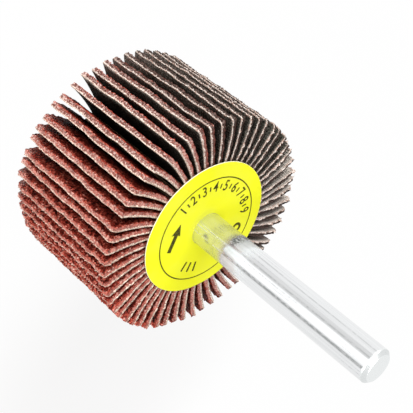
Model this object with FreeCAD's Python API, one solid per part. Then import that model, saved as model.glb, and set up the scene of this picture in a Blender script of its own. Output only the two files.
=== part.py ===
import FreeCAD, Part
import math
import os
import random

# A flap wheel: abrasive cloth flaps cast by their roots in a round resin core on a steel shank.
# Millimetres. The origin is the centre of the back face, and +Z runs up the wheel to the shank's end.
# Seen from the shank's end, the wheel turns clockwise, so each flap's grit faces clockwise.

# Wheel
wheel_r = 20.3           # axis to a flap's tip
wheel_w = 25.0           # back face to front edges
flap_count = 57

# One flap: a strip of abrasive cloth that curves away from its grit side
flap_t = 0.85
flap_root_r = 10.2       # axis to the flap's inner end, inside the resin
flap_bend_r = 26.0       # bend of the flap's middle surface
flap_corner = 0.5        # worn corners at the tip
flap_seed = 11
flap_turn_play = 0.4     # degrees that a flap may stand before or after its place
flap_tilt_play = 1.2     # degrees that its root may lean
flap_bend_play = 0.12    # share by which its bend may differ
flap_length_play = 0.12  # millimetres by which its length may differ

# Resin core
core_r = 11.8
core_cover = 0.3         # resin over the flaps' front edges

# Paper label
label_r = 12.5
label_t = 0.2
label_shift = 0.45       # the disc was punched this far off the shank's axis, towards -Y
label_hole_gap = 0.1     # radial gap between the paper and the shank

# Shank
shank_r = 3.0
shank_reach = 38.5       # front edges of the flaps to the shank's end
shank_chamfer = 0.6
shank_back_cover = 3.0   # resin behind the shank's root
knurl_count = 18         # ridges of the straight knurl that keys the root in the resin
knurl_depth = 0.3

# Levels that follow
core_top = wheel_w + core_cover
label_top = core_top + label_t
shank_end = wheel_w + shank_reach

UP = FreeCAD.Vector(0, 0, 1)
AXIS_POINT = FreeCAD.Vector(0, 0, 0)


def bend_angle_to(radius):
    """Angle of bend, in radians, that carries a flap from its root out to a radius."""
    reach = math.hypot(flap_root_r, flap_bend_r)
    lean = math.atan2(flap_bend_r, flap_root_r)
    rise = (radius**2 - flap_root_r**2 - 2 * flap_bend_r**2) / (2 * flap_bend_r)
    return lean + math.asin(rise / reach)


flap_length = flap_bend_r * bend_angle_to(wheel_r)


def flap_section(bend_r, length):
    """The flap seen along the wheel's axis: a band between two arcs, lying along +X from its root."""
    centre = FreeCAD.Vector(flap_root_r, bend_r, 0)
    sweep = length / bend_r

    def on_arc(radius, angle):
        return centre + FreeCAD.Vector(radius * math.sin(angle), -radius * math.cos(angle), 0)

    grit_r = bend_r + flap_t / 2
    cloth_r = bend_r - flap_t / 2
    grit = Part.Arc(on_arc(grit_r, 0), on_arc(grit_r, sweep / 2), on_arc(grit_r, sweep)).toShape()
    tip = Part.makeLine(on_arc(grit_r, sweep), on_arc(cloth_r, sweep))
    cloth = Part.Arc(on_arc(cloth_r, sweep), on_arc(cloth_r, sweep / 2), on_arc(cloth_r, 0)).toShape()
    root = Part.makeLine(on_arc(cloth_r, 0), on_arc(grit_r, 0))
    return Part.Face(Part.Wire([grit, tip, cloth, root]))


def make_flap(place, chance):
    """One flap in its place round the axis, with the small differences of a hand-laid cloth."""
    bend_r = flap_bend_r * (1 + chance.uniform(-flap_bend_play, flap_bend_play))
    length = flap_length + chance.uniform(-flap_length_play, flap_length_play)
    tilt = chance.uniform(-flap_tilt_play, flap_tilt_play)
    turn = place * 360.0 / flap_count + chance.uniform(-flap_turn_play, flap_turn_play)

    strip = flap_section(bend_r, length).extrude(UP * wheel_w)
    middle_x = flap_root_r + length / 2
    across_tip = [
        edge for edge in strip.Edges
        if abs(edge.Length - flap_t) < flap_t / 100 and edge.CenterOfMass.x > middle_x
    ]
    flap = strip.makeChamfer(flap_corner, across_tip)
    flap.rotate(FreeCAD.Vector(flap_root_r, 0, 0), UP, tilt)
    flap.rotate(AXIS_POINT, UP, turn)
    return flap


def knurl_section():
    """Outline of the knurled root: a ring of plain V ridges whose crests lie on the shank's radius."""
    corners = []
    for step in range(2 * knurl_count + 1):
        angle = step * math.pi / knurl_count
        radius = shank_r - knurl_depth * (step % 2)
        corners.append(FreeCAD.Vector(radius * math.cos(angle), radius * math.sin(angle), 0))
    return Part.Face(Part.makePolygon(corners))


def make_shank():
    """Ground steel rod with a chamfered end and a knurled root."""
    free_length = Part.makeCylinder(shank_r, shank_end - label_top, UP * label_top)
    end_edge = [
        edge for edge in free_length.Edges
        if isinstance(edge.Curve, Part.Circle) and edge.CenterOfMass.z > label_top + shank_chamfer
    ]
    free_length = free_length.makeChamfer(shank_chamfer, end_edge)
    root = knurl_section().extrude(UP * (label_top - shank_back_cover))
    root.translate(UP * shank_back_cover)
    return free_length.fuse(root)


def make_core(shank, flaps):
    """Cast resin that fills the space between the shank's root and the flaps' roots."""
    core = Part.makeCylinder(core_r, core_top)
    return core.cut([shank] + flaps)


def make_label():
    """Paper disc on the core's front face, with a hole for the shank."""
    disc = Part.makeCylinder(label_r, label_t, FreeCAD.Vector(0, -label_shift, core_top))
    hole_r = shank_r + label_hole_gap
    return disc.cut(Part.makeCylinder(hole_r, label_t, FreeCAD.Vector(0, 0, core_top)))


def save(node, shape):
    """Write one node and say what was written."""
    solids = shape.Solids
    assert len(solids) == 1 and solids[0].isValid(), node
    solids[0].exportStep(f"parts/{node}.step")
    print(f"{node}: {solids[0].Volume:.1f} mm3")


def main():
    """Build every piece and write one file for each."""
    os.makedirs("parts", exist_ok=True)
    chance = random.Random(flap_seed)
    flaps = [make_flap(place, chance) for place in range(flap_count)]
    shank = make_shank()
    save("shank", shank)
    save("resin_core", make_core(shank, flaps))
    save("label_disc", make_label())
    for number, flap in enumerate(flaps, start=1):
        save(f"flap_{number:02d}", flap)


main()
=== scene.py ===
"""Looks of the flap wheel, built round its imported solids.

The wheel stands on its back face with the shank up. Every size is in metres, in the part's own frame,
unless its name says otherwise. The flaps' cloth is made by one Geometry Nodes tree, which lays a flat
strip of coated cloth, roughs up its grit and cut edges, and bends it to the place of its solid.
"""

import logging
import math
import random
from dataclasses import dataclass, field
from enum import Enum

import bmesh
import bpy
from mathutils import Matrix, Vector


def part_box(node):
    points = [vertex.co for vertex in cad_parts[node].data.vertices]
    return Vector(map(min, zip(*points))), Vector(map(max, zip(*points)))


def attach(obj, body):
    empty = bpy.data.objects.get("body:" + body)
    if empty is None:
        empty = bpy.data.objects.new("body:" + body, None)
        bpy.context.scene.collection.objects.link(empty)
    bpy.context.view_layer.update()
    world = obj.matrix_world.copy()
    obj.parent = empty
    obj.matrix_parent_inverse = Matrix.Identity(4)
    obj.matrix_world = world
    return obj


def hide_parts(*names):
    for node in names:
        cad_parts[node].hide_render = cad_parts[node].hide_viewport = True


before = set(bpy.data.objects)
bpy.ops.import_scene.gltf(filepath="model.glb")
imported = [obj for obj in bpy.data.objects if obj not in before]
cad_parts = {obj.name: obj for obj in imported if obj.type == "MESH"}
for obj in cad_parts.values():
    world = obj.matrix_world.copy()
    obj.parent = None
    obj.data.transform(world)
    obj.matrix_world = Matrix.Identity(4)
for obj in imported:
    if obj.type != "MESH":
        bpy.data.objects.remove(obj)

BODY = "root"
MM = 0.001
IN_MM = 1000.0
LAMP_AIM = Vector((0.0, 0.0, 15.0 * MM))
WHITE = (1.0, 1.0, 1.0, 1.0)

# A flap's corners that are this much further from the axis than its nearest one still belong to its root
ROOT_SLACK = 0.15 * MM

# Attributes that the cloth and the paper carry for their materials
PLACE = "cloth_place"
EDGE = "cloth_edge"
DUST_AND_LIGHT = "cloth_dust"
SHIFT = "cloth_shift"
RIM = "cut_rim"

# Nodes are laid out in rows
NODES_IN_ROW = 24
NODE_WIDTH = 190.0
NODE_HEIGHT = 240.0

# Sockets of a Mix node that mixes colours
MIX_SHARE, MIX_FIRST, MIX_SECOND, MIX_RESULT = 0, 6, 7, 2

log = logging.getLogger("flap_wheel")

Colour = tuple[float, float, float]


class Slot(Enum):
    """The record's material slots."""

    STEEL = "shank_steel"
    RESIN = "core_resin"
    PAPER = "label_paper"
    CLOTH = "abrasive_cloth"


# Node trees


class Signal:
    """A value inside a node tree. Plain arithmetic on it adds Math nodes."""

    def __init__(self, bench: "Bench", socket: bpy.types.NodeSocket) -> None:
        """Remember the bench and the socket that the value comes from."""
        self.bench = bench
        self.socket = socket

    def __add__(self, other: "Signal | float") -> "Signal":
        """Sum of two values."""
        return self.bench.calc("ADD", self, other)

    def __sub__(self, other: "Signal | float") -> "Signal":
        """Difference of two values."""
        return self.bench.calc("SUBTRACT", self, other)

    def __mul__(self, other: "Signal | float") -> "Signal":
        """Product of two values."""
        return self.bench.calc("MULTIPLY", self, other)

    def __truediv__(self, other: "Signal | float") -> "Signal":
        """Quotient of two values."""
        return self.bench.calc("DIVIDE", self, other)

    def __pow__(self, other: float) -> "Signal":
        """Power of a value."""
        return self.bench.calc("POWER", self, other)

    def __radd__(self, other: float) -> "Signal":
        """Sum with a plain number in front."""
        return self.bench.calc("ADD", other, self)

    def __rsub__(self, other: float) -> "Signal":
        """Difference with a plain number in front."""
        return self.bench.calc("SUBTRACT", other, self)

    def __rmul__(self, other: float) -> "Signal":
        """Product with a plain number in front."""
        return self.bench.calc("MULTIPLY", other, self)


@dataclass
class Bench:
    """A node tree while it is being wired.

    Attributes:
        tree: the tree that the nodes go into.
    """

    tree: bpy.types.NodeTree

    def node(self, kind: str, **settings: object) -> bpy.types.Node:
        """Add a node.

        Args:
            kind: Blender's name for the node type.
            settings: properties to set on it.

        Returns:
            The new node.
        """
        row, column = divmod(len(self.tree.nodes), NODES_IN_ROW)
        made = self.tree.nodes.new(kind)
        made.location = (column * NODE_WIDTH, -row * NODE_HEIGHT)
        for name, value in settings.items():
            setattr(made, name, value)
        return made

    def feed(self, target: bpy.types.NodeSocket, value: object) -> None:
        """Give a socket a value.

        Args:
            target: the input socket.
            value: a Signal to link, or a constant to set.
        """
        if isinstance(value, Signal):
            self.tree.links.new(value.socket, target)
        else:
            target.default_value = value

    def fill(self, made: bpy.types.Node, inputs: dict[str, object]) -> None:
        """Give a node's inputs their values, by socket name."""
        for name, value in inputs.items():
            self.feed(made.inputs[name], value)

    def fed(self, kind: str, inputs: dict[str, object], **settings: object) -> bpy.types.Node:
        """Add a node and fill its inputs.

        Args:
            kind: Blender's name for the node type.
            inputs: values by socket name.
            settings: properties to set on the node.

        Returns:
            The new node.
        """
        made = self.node(kind, **settings)
        self.fill(made, inputs)
        return made

    def out(self, kind: str, inputs: dict[str, object], output: int | str = 0, **settings: object) -> Signal:
        """Add a node, fill its inputs and take one of its outputs."""
        return Signal(self, self.fed(kind, inputs, **settings).outputs[output])

    def calc(self, operation: str, *values: "Signal | float", clamp: bool = False) -> Signal:
        """Add a Math node.

        Args:
            operation: the Math node's operation.
            values: its inputs, in order.
            clamp: whether the result is kept between 0 and 1.

        Returns:
            The result.
        """
        made = self.node("ShaderNodeMath", operation=operation, use_clamp=clamp)
        for target, value in zip(made.inputs, values):
            self.feed(target, value)
        return Signal(self, made.outputs[0])

    def ramp(self, value: Signal, low: float, high: float) -> Signal:
        """Smooth step from 0 at low to 1 at high."""
        inputs = {"Value": value, "From Min": low, "From Max": high}
        return self.out("ShaderNodeMapRange", inputs, interpolation_type="SMOOTHSTEP")

    def fall(self, value: Signal, low: float, high: float) -> Signal:
        """Smooth step from 1 at low to 0 at high."""
        return 1.0 - self.ramp(value, low, high)

    def join(self, x: "Signal | float", y: "Signal | float", z: "Signal | float") -> Signal:
        """Vector of three values."""
        return self.out("ShaderNodeCombineXYZ", {"X": x, "Y": y, "Z": z})

    def split(self, vector: Signal) -> tuple[Signal, ...]:
        """The three values of a vector."""
        made = self.fed("ShaderNodeSeparateXYZ", {"Vector": vector})
        return tuple(Signal(self, output) for output in made.outputs)

    def noise(self, place: Signal, scale: float, detail: float = 2.0) -> Signal:
        """Soft noise round 0.5, with so many features for each unit of place, and finer layers on top."""
        return self.out("ShaderNodeTexNoise", {"Vector": place, "Scale": scale, "Detail": detail})

    def cells(self, place: Signal, scale: float) -> tuple[Signal, Signal]:
        """Random cells, as packed grains make them.

        Args:
            place: where the cells are read.
            scale: cells for each unit of place.

        Returns:
            The distance to the nearest cell's middle, and a random value for each cell.
        """
        made = self.fed("ShaderNodeTexVoronoi", {"Vector": place, "Scale": scale})
        tone = self.split(Signal(self, made.outputs["Color"]))[0]
        return Signal(self, made.outputs["Distance"]), tone

    def blend(self, share: "Signal | float", first: object, second: object) -> Signal:
        """Mix of two colours.

        Args:
            share: how much of the second colour shows.
            first: a colour or a Signal.
            second: a colour or a Signal.

        Returns:
            The mixed colour.
        """
        made = self.node("ShaderNodeMix", data_type="RGBA")
        self.feed(made.inputs[MIX_SHARE], share)
        for target, colour in ((MIX_FIRST, first), (MIX_SECOND, second)):
            self.feed(made.inputs[target], colour if isinstance(colour, Signal) else (*colour, 1.0))
        return Signal(self, made.outputs[MIX_RESULT])

    def steps(self, value: Signal, stops: list[tuple[float, Colour]]) -> Signal:
        """Colours laid along a value.

        Args:
            value: where on the scale the surface is.
            stops: position and colour of each stop, in order.

        Returns:
            The colour.
        """
        made = self.fed("ShaderNodeValToRGB", {"Fac": value})
        band = made.color_ramp
        for spare, (position, colour) in zip(band.elements, stops):
            spare.position = position
            spare.color = (*colour, 1.0)
        for position, colour in stops[2:]:
            band.elements.new(position).color = (*colour, 1.0)
        return Signal(self, made.outputs[0])

    def attribute(self, name: str, output: str = "Fac") -> Signal:
        """A mesh attribute, for a material."""
        return self.out("ShaderNodeAttribute", {}, output, attribute_name=name)

    def where(self) -> Signal:
        """Place on the object, for a material."""
        return self.out("ShaderNodeTexCoord", {}, "Object")

    def ray(self, kind: str) -> Signal:
        """1 for rays of a kind, such as "Is Glossy Ray"."""
        return self.out("ShaderNodeLightPath", {}, kind)

    def relief(self, height: Signal, depth: float, strength: float) -> Signal:
        """Bump from a height of 0 to 1, where 1 stands for a depth in metres."""
        return self.out("ShaderNodeBump", {"Height": height, "Distance": depth, "Strength": strength})


def new_material(name: str) -> tuple[bpy.types.Material, Bench, bpy.types.Node]:
    """Start a material.

    Args:
        name: its name.

    Returns:
        The material, the bench for its nodes, and its main shader.
    """
    made = bpy.data.materials.new(name)
    made.use_nodes = True
    return made, Bench(made.node_tree), made.node_tree.nodes["Principled BSDF"]


def new_tree(
    name: str, numbers: tuple[str, ...], counts: tuple[str, ...] = ()
) -> tuple[Bench, dict[str, Signal]]:
    """Start a Geometry Nodes tree that makes a mesh of one material.

    Args:
        name: its name.
        numbers: names of the inputs that are sizes, angles or shares.
        counts: names of the inputs that are whole numbers.

    Returns:
        The bench for its nodes, and its inputs by name.
    """
    tree = bpy.data.node_groups.new(name, "GeometryNodeTree")
    kinds = {number: "NodeSocketFloat" for number in numbers}
    kinds |= {count: "NodeSocketInt" for count in counts}
    kinds["Material"] = "NodeSocketMaterial"
    for title, kind in kinds.items():
        tree.interface.new_socket(title, in_out="INPUT", socket_type=kind)
    tree.interface.new_socket("Geometry", in_out="OUTPUT", socket_type="NodeSocketGeometry")
    bench = Bench(tree)
    given = bench.node("NodeGroupInput")
    return bench, {socket.name: Signal(bench, socket) for socket in given.outputs if socket.name}


def close_tree(bench: Bench, taken: dict[str, Signal], shape: Signal) -> bpy.types.NodeTree:
    """End a Geometry Nodes tree: real instances, the material, the output.

    Args:
        bench: the tree's bench.
        taken: the tree's inputs by name.
        shape: the finished geometry.

    Returns:
        The tree.
    """
    real = bench.out("GeometryNodeRealizeInstances", {"Geometry": shape})
    dressed = bench.out("GeometryNodeSetMaterial", {"Geometry": real, "Material": taken["Material"]})
    bench.feed(bench.node("NodeGroupOutput").inputs[0], dressed)
    return bench.tree


@dataclass(frozen=True)
class Sector:
    """A stretch of bearings round the shank, with soft borders.

    Attributes:
        first: middle of its first border, in degrees from the front towards +X.
        last: middle of its last border.
        soft: how far a border fades to each side.
        change: what the sector adds inside.
    """

    first: float
    last: float
    soft: float
    change: float = 1.0

    def value(self, bench: Bench, bearing: Signal) -> Signal:
        """What the sector adds at a bearing."""
        starts, ends = (bench.ramp(bearing, at - self.soft, at + self.soft) for at in (self.first, self.last))
        return (starts - ends) * self.change


def round_shank(bench: Bench, x: Signal, y: Signal, sectors: tuple[Sector, ...]) -> Signal:
    """What some sectors add together at a place.

    Args:
        bench: the material's bench.
        x: the place's X.
        y: its Y.
        sectors: the sectors.

    Returns:
        The sum of their changes.
    """
    bearing = bench.calc("DEGREES", bench.calc("ARCTAN2", x, y * -1.0))
    total = sectors[0].value(bench, bearing)
    for sector in sectors[1:]:
        total = total + sector.value(bench, bearing)
    return total


# Finishes


@dataclass(frozen=True)
class ClothSpot:
    """A place on the cloth, in millimetres, as its material reads it from the mesh.

    Attributes:
        along: distance from the root.
        across: distance from the back edge.
        layer: 0 on the grit, 1 on the cloth's back.
        to_tip: distance to the tip.
        to_side: distance to the nearest side.
        edge: distance to the nearest cut edge.
        dirt: how dark the flap's cut edges are, from grime and from painted shade on one side of the wheel.
        dust: how light its back is, from settled powder and from painted light on one side of the wheel.
        flat: the place, shifted so that no two flaps have the same pattern.
        fray: fine noise that roughens the borders.
        on_back: 1 on the cloth's back.
        in_cut: 1 on a cut edge.
        at_side: 1 nearer to a side than to the tip.
        at_tip: 1 close to the tip.
    """

    along: Signal
    across: Signal
    layer: Signal
    to_tip: Signal
    to_side: Signal
    edge: Signal
    dirt: Signal
    dust: Signal
    flat: Signal
    fray: Signal
    on_back: Signal
    in_cut: Signal
    at_side: Signal
    at_tip: Signal

    @classmethod
    def read(cls, bench: Bench) -> "ClothSpot":
        """Read the place from the cloth's own attributes.

        Args:
            bench: the material's bench.

        Returns:
            The place.
        """
        along, across, layer = bench.split(bench.attribute(PLACE, "Vector"))
        to_tip, to_side, dirt = bench.split(bench.attribute(EDGE, "Vector"))
        shift = bench.attribute(SHIFT)
        flat = bench.join(along + shift * 7.3, across + shift * 3.1, layer * 0.8)
        on_back = bench.ramp(layer, 0.96, 0.995)
        return cls(
            along=along,
            across=across,
            layer=layer,
            to_tip=to_tip,
            to_side=to_side,
            edge=bench.calc("MINIMUM", to_tip, to_side),
            dirt=dirt,
            dust=bench.attribute(DUST_AND_LIGHT),
            flat=flat,
            fray=bench.noise(flat, 4.5, 2.0),
            on_back=on_back,
            in_cut=bench.ramp(layer, 0.02, 0.12) * (1.0 - on_back),
            at_side=bench.fall(to_side - to_tip, -0.4, 0.2),
            at_tip=bench.fall(to_tip, 0.1, 0.7),
        )

    def ragged(self, width: float) -> Signal:
        """Distance to the nearest cut edge, made uneven over a width."""
        return self.edge + (self.fray - 0.5) * width


@dataclass(frozen=True)
class AbrasiveCloth:
    """Coated cloth: red-brown grit on one face, dark woven backing on the other, pale threads between.

    Attributes:
        cut_tone: the coating where it is cut.
        thread_tan: threads at a tip where dirt is low, where thread_worn is for a flap where the larger of
            dirt and dust is high.
        rim_brown_and_shade: grit along the cut edges of flaps high in dirt, grime and painted shade.
        tip_brown_and_shade: handling grime on a tip, which grows with dirt and so is partly painted shade.
        side_soot_and_shade: how much grime and painted shade a cut side has, on the flap lowest and the flap
            highest in dirt.
        tip_soot_and_shade: the same for the tip.
        root_shade: painted shade, how much of the cloth's colour shows near the core.
        inner_shade: painted shade, how dark the grit is away from the cut edges, deep between the flaps.
        grains_per_mm: size of the grains.
        threads_per_mm: size of the weave.
    """

    grit_dark_and_crevice_shade: Colour = (0.030, 0.002, 0.001)
    grit_bond: Colour = (0.250, 0.022, 0.012)
    grit_grain: Colour = (0.560, 0.112, 0.072)
    grit_bright: Colour = (0.880, 0.560, 0.475)
    grit_dust: Colour = (0.700, 0.500, 0.450)
    cut_tone: Colour = (0.470, 0.205, 0.165)
    cut_soot_and_shade: Colour = (0.028, 0.015, 0.011)
    backing_dark: Colour = (0.010, 0.008, 0.005)
    backing_light: Colour = (0.130, 0.126, 0.104)
    backing_lint: Colour = (0.620, 0.560, 0.500)
    thread_pale: Colour = (0.800, 0.665, 0.550)
    thread_worn: Colour = (0.740, 0.670, 0.610)
    thread_tan: Colour = (0.600, 0.400, 0.325)
    thread_shade: Colour = (0.390, 0.250, 0.195)
    rim_brown_and_shade: Colour = (0.078, 0.060, 0.050)
    tip_brown_and_shade: Colour = (0.150, 0.066, 0.052)
    root_shade_tone: Colour = (0.010, 0.003, 0.002)
    inner_shade_tone: Colour = (0.012, 0.002, 0.001)
    side_soot_and_shade: tuple[float, float] = (0.06, 0.92)
    tip_soot_and_shade: tuple[float, float] = (0.00, 0.62)
    root_shade: float = 0.30
    inner_shade: float = 0.62
    grains_per_mm: float = 2.6
    threads_per_mm: float = 2.1

    def grit(self, bench: Bench, spot: ClothSpot) -> tuple[Signal, Signal]:
        """Grains in their red-brown bond, with painted shade in the crevices between them.

        Args:
            bench: the material's bench.
            spot: place on the cloth.

        Returns:
            The colour and the height of the grains.
        """
        distance, tone = bench.cells(spot.flat, self.grains_per_mm)
        patch = bench.noise(spot.flat, 0.5, 3.0)
        speck = bench.noise(spot.flat, 3.4, 2.0)
        worn = bench.fall(spot.edge, 0.0, 0.9)
        level = tone * 0.55 + speck * 1.00 + patch * 0.60 + worn * 0.20 - 0.73
        colour = bench.steps(level, [
            (0.08, self.grit_dark_and_crevice_shade),
            (0.36, self.grit_bond),
            (0.66, self.grit_grain),
            (0.98, self.grit_bright),
        ])
        # Painted shade in the crevices between the grains
        crevice_shade = bench.ramp(distance, 0.42, 0.90)
        colour = bench.blend(crevice_shade * 0.7, colour, self.grit_dark_and_crevice_shade)
        return colour, (1.0 - distance) * (0.4 + 0.6 * tone)

    def backing(self, bench: Bench, spot: ClothSpot) -> tuple[Signal, Signal]:
        """Sized dark weave of the cloth's back, worn light towards its cut edges, and lighter towards its tip
        and on one side of the wheel, partly from powder and partly painted light.

        Args:
            bench: the material's bench.
            spot: place on the cloth.

        Returns:
            The colour and the height of the threads.
        """
        along, across, _ = bench.split(spot.flat)
        turn = math.pi * self.threads_per_mm
        warp = bench.calc("ABSOLUTE", bench.calc("SINE", along * turn))
        weft = bench.calc("ABSOLUTE", bench.calc("SINE", across * turn))
        row = bench.calc("FLOOR", across * self.threads_per_mm)
        over = bench.calc("PINGPONG", bench.calc("FLOOR", along * self.threads_per_mm) + row, 1.0)
        height = warp * over + weft * (1.0 - over)
        lint = bench.noise(spot.flat, 2.6, 3.0)
        smear = bench.noise(spot.flat, 0.35, 2.0)
        fleck = bench.ramp(bench.noise(spot.flat, 4.0, 1.0), 0.56, 0.70)
        worn = bench.fall(spot.edge, 0.1, 1.3)
        # Lighter towards the tip from powder and painted light, and painted light along the back edge near
        # the tip
        dusty = bench.fall(spot.to_tip, 0.4, 4.0)
        behind = bench.fall(spot.across, 1.0, 10.0) * bench.fall(spot.to_tip, 1.0, 7.0)
        level = height * 0.26 + lint * 0.80 + smear * 0.55 + fleck * 0.34 - 0.76
        # Backs of flaps on one side of the wheel are lighter: powder, and painted light
        level = level + worn * 0.16 + dusty * 0.08 + behind * 0.36 + spot.dust * (0.76 + dusty * 0.16)
        stops = [(0.08, self.backing_dark), (0.52, self.backing_light), (0.95, self.backing_lint)]
        return bench.steps(level, stops), height * 0.6 + lint * 0.4

    def threads(self, bench: Bench, spot: ClothSpot) -> tuple[Signal, Signal, Signal]:
        """Pale threads that a cut edge lays bare past the coating.

        Args:
            bench: the material's bench.
            spot: place on the cloth.

        Returns:
            Their colour, how far they show, and where a cut is past the coating.
        """
        # Worn pale threads and tan tips follow dirt and dust, so they are partly painted light and shade on
        # one side of the wheel
        clean_unshaded_tip = (1.0 - spot.at_side) * bench.fall(spot.dirt, 0.05, 0.40)
        handling_and_lighting = bench.calc("MAXIMUM", spot.dust, bench.ramp(spot.dirt, 0.20, 0.70))
        colour = bench.blend(handling_and_lighting, self.thread_pale, self.thread_worn)
        colour = bench.blend(clean_unshaded_tip * 0.8, colour, self.thread_tan)
        colour = bench.blend(bench.ramp(spot.fray, 0.40, 0.60), self.thread_shade, colour)
        wide = spot.at_side * (0.17 - spot.dirt * 0.14) + clean_unshaded_tip * 0.08
        past_bond = bench.ramp(spot.layer + (spot.fray - 0.5) * 0.40 + wide, 0.70, 0.80)
        frayed = spot.on_back * bench.fall(spot.ragged(1.0), -0.02, 0.14)
        shown = bench.calc("ADD", past_bond * (1.0 - spot.on_back), frayed, clamp=True)
        return colour, shown, past_bond

    def dusted(self, bench: Bench, spot: ClothSpot, grit: Signal, soot_and_shade_share: Signal) -> tuple[Signal, Signal]:
        """Grit as handling and powder leave it on the cut edges. Towards one side of the wheel it gets a
        painted-shade rim and brown tips, and its pale powder is partly painted light.

        Args:
            bench: the material's bench.
            spot: place on the cloth.
            grit: the clean grit's colour.
            soot_and_shade_share: how much grime and painted shade the flap has.

        Returns:
            The grit's colour, and where powder has settled on the tip.
        """
        cover = 1.0 - spot.on_back
        # Pale powder on the grit at the back corner of the tip, partly painted light
        corner = bench.fall(spot.across, 0.3, 2.6) * bench.fall(spot.to_tip, 0.6, 3.0)
        grains = bench.ramp(bench.noise(spot.flat, 3.3, 1.0) + corner * 0.08, 0.50, 0.64)
        settled = grains * spot.at_tip * spot.in_cut
        grit = bench.blend(spot.in_cut * 0.42, grit, self.cut_tone)
        # Brown tips towards one side of the wheel: handling grime, partly painted shade
        handling_and_lighting = spot.at_tip * spot.in_cut * bench.ramp(spot.dirt, 0.05, 0.45)
        grit = bench.blend(handling_and_lighting * 0.62, grit, self.tip_brown_and_shade)
        # Pale powder on tips grows towards one side of the wheel, partly painted light
        grit = bench.blend(settled * bench.calc("MINIMUM", spot.dirt * 1.9, 0.80), grit, self.grit_dust)
        grit = bench.blend(grains * corner * cover * 0.6, grit, self.grit_dust)
        some_dirt = bench.ramp(spot.dirt, 0.06, 0.40) * bench.fall(spot.dirt, 0.5, 0.7)
        powder = spot.at_side * spot.in_cut * some_dirt * bench.ramp(spot.fray, 0.44, 0.60)
        grit = bench.blend(powder * 0.55, grit, self.grit_dust)
        # Painted shade: a dark rim along the cut edges of flaps on one side of the wheel
        rim = bench.fall(spot.edge, 0.10, 0.90) * cover * soot_and_shade_share
        return bench.blend(rim * 0.94, grit, self.rim_brown_and_shade), settled

    def soot_and_shade(self, bench: Bench, spot: ClothSpot, soot_and_shade_share: Signal) -> Signal:
        """How much grime and painted shade a cut edge has: blots on the tips, and painted shade that grows
        towards one side of the wheel.

        Args:
            bench: the material's bench.
            spot: place on the cloth.
            soot_and_shade_share: how much grime and painted shade the flap has.

        Returns:
            The share of grime and painted shade.
        """
        blot = bench.ramp(bench.noise(spot.flat, 2.6, 3.0), 0.38, 0.56)
        low, high = self.side_soot_and_shade
        side = soot_and_shade_share * (high - low) + low
        low, high = self.tip_soot_and_shade
        tip = soot_and_shade_share * (high - low) + low + blot * (0.28 + bench.ramp(spot.dirt, 0.15, 0.50) * 0.32)
        return bench.calc("MINIMUM", side + spot.at_tip * (tip - side), 0.95) * spot.in_cut

    def shaded(self, bench: Bench, spot: ClothSpot, colour: Signal) -> Signal:
        """Painted shade: darker cloth between the flaps and towards the core, where little light gets.

        Args:
            bench: the material's bench.
            spot: place on the cloth.
            colour: the cloth's colour.

        Returns:
            The darkened colour.
        """
        # Painted shade towards the core, away from the cut edges
        root = bench.fall(spot.along + (spot.fray - 0.5) * 2.0, 3.2, 8.6)
        root = bench.ramp(spot.ragged(0.6), 0.5, 2.2) * root
        colour = bench.blend(root * (1.0 - self.root_shade), colour, self.root_shade_tone)
        # Painted shade on the grit, away from its cut edges
        uneven = spot.ragged(1.2)
        inner = bench.ramp(uneven, 0.3, 1.5) * 0.40 + bench.ramp(uneven, 0.8, 3.6) * 0.60
        inner = inner * (1.0 - spot.on_back) * self.inner_shade
        return bench.blend(inner, colour, self.inner_shade_tone)

    def make(self) -> bpy.types.Material:
        """Build the material.

        Returns:
            The material, which reads the cloth's own attributes.
        """
        made, bench, shader = new_material("abrasive_cloth")
        spot = ClothSpot.read(bench)
        # Cut edges darken towards one side of the wheel: grime, and painted shade
        soot_and_shade_share = bench.ramp(spot.dirt, 0.50, 0.80)
        grit, grain_height = self.grit(bench, spot)
        backing, thread_height = self.backing(bench, spot)
        thread, shown, past_bond = self.threads(bench, spot)
        grit, settled = self.dusted(bench, spot, grit, soot_and_shade_share)
        soot_and_shade = self.soot_and_shade(bench, spot, soot_and_shade_share) * (1.0 - past_bond) * (1.0 - settled * 0.7)
        colour = bench.blend(spot.on_back, grit, backing)
        colour = bench.blend(soot_and_shade, colour, self.cut_soot_and_shade)
        colour = bench.blend(shown, colour, thread)
        height = grain_height * (1.0 - spot.on_back) + thread_height * spot.on_back
        bench.fill(shader, {
            "Base Color": self.shaded(bench, spot, colour),
            "Roughness": 0.62 + spot.on_back * 0.25 + grain_height * -0.10,
            "Specular IOR Level": 0.09,
            "Normal": bench.relief(height, 0.09 * MM, 0.8),
        })
        return made


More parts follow.
